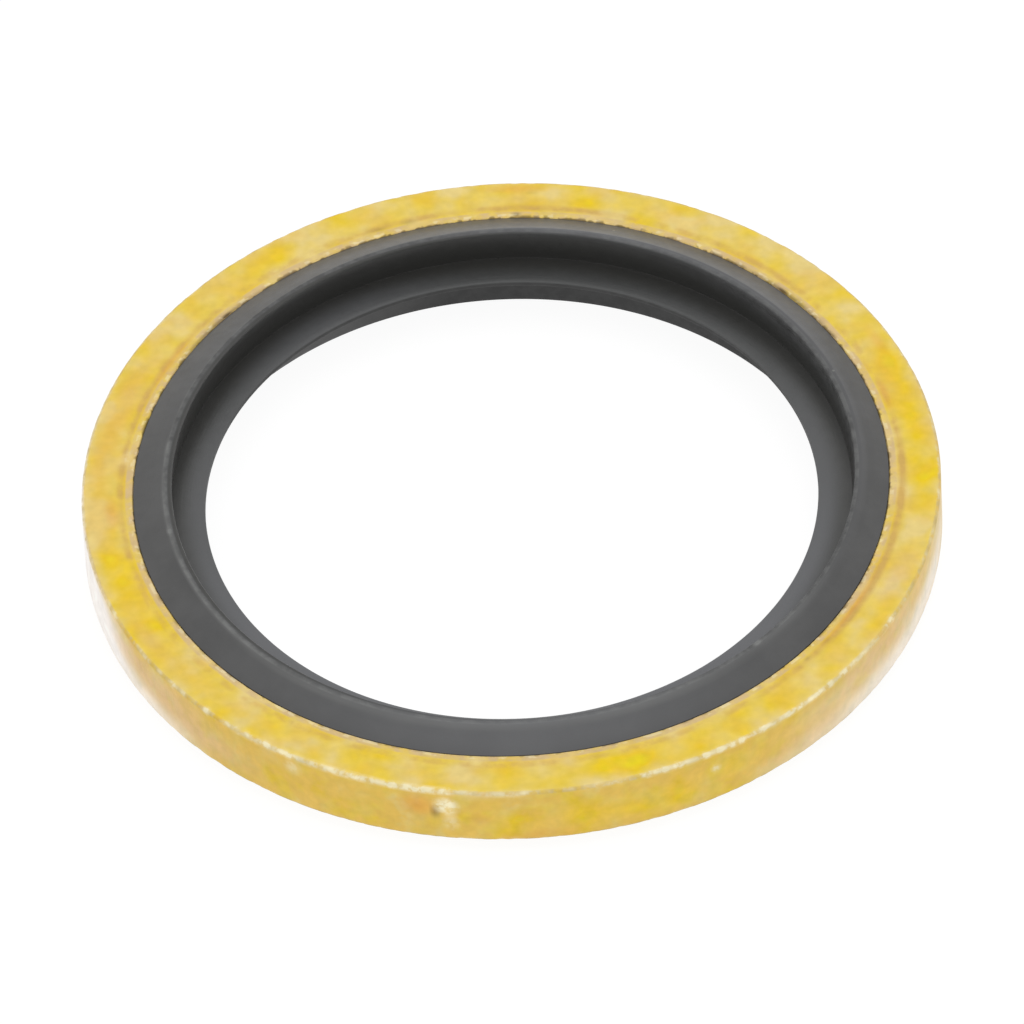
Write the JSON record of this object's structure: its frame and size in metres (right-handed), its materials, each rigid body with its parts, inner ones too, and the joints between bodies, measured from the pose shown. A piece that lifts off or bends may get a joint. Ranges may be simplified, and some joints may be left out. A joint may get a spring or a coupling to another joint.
{
  "type": "bonded sealing washer",
  "caption": "Flat plated steel ring with a black rubber seal bonded into its bore: a sealing lip on each face and a thin inner web that centres the washer on a thread.",
  "frame": {"origin": "on the washer's axis, in the plane of the lower lip's crest, on which the washer rests", "axes": "+Z along the washer's axis, towards the face that the web lies nearer to; the washer is round, so +X and +Y are any two square radii"},
  "size_m": [0.0428, 0.0428, 0.0047],
  "materials": {
    "plated_steel": "zinc plated steel, yellow passivated, satin, mottled, worn at the rim edges",
    "seal_rubber": "matte black moulded nitrile rubber"
  },
  "bodies": {
    "root": {"metal_ring": "plated_steel", "rubber_seal": "seal_rubber"}
  },
  "joints": []
}
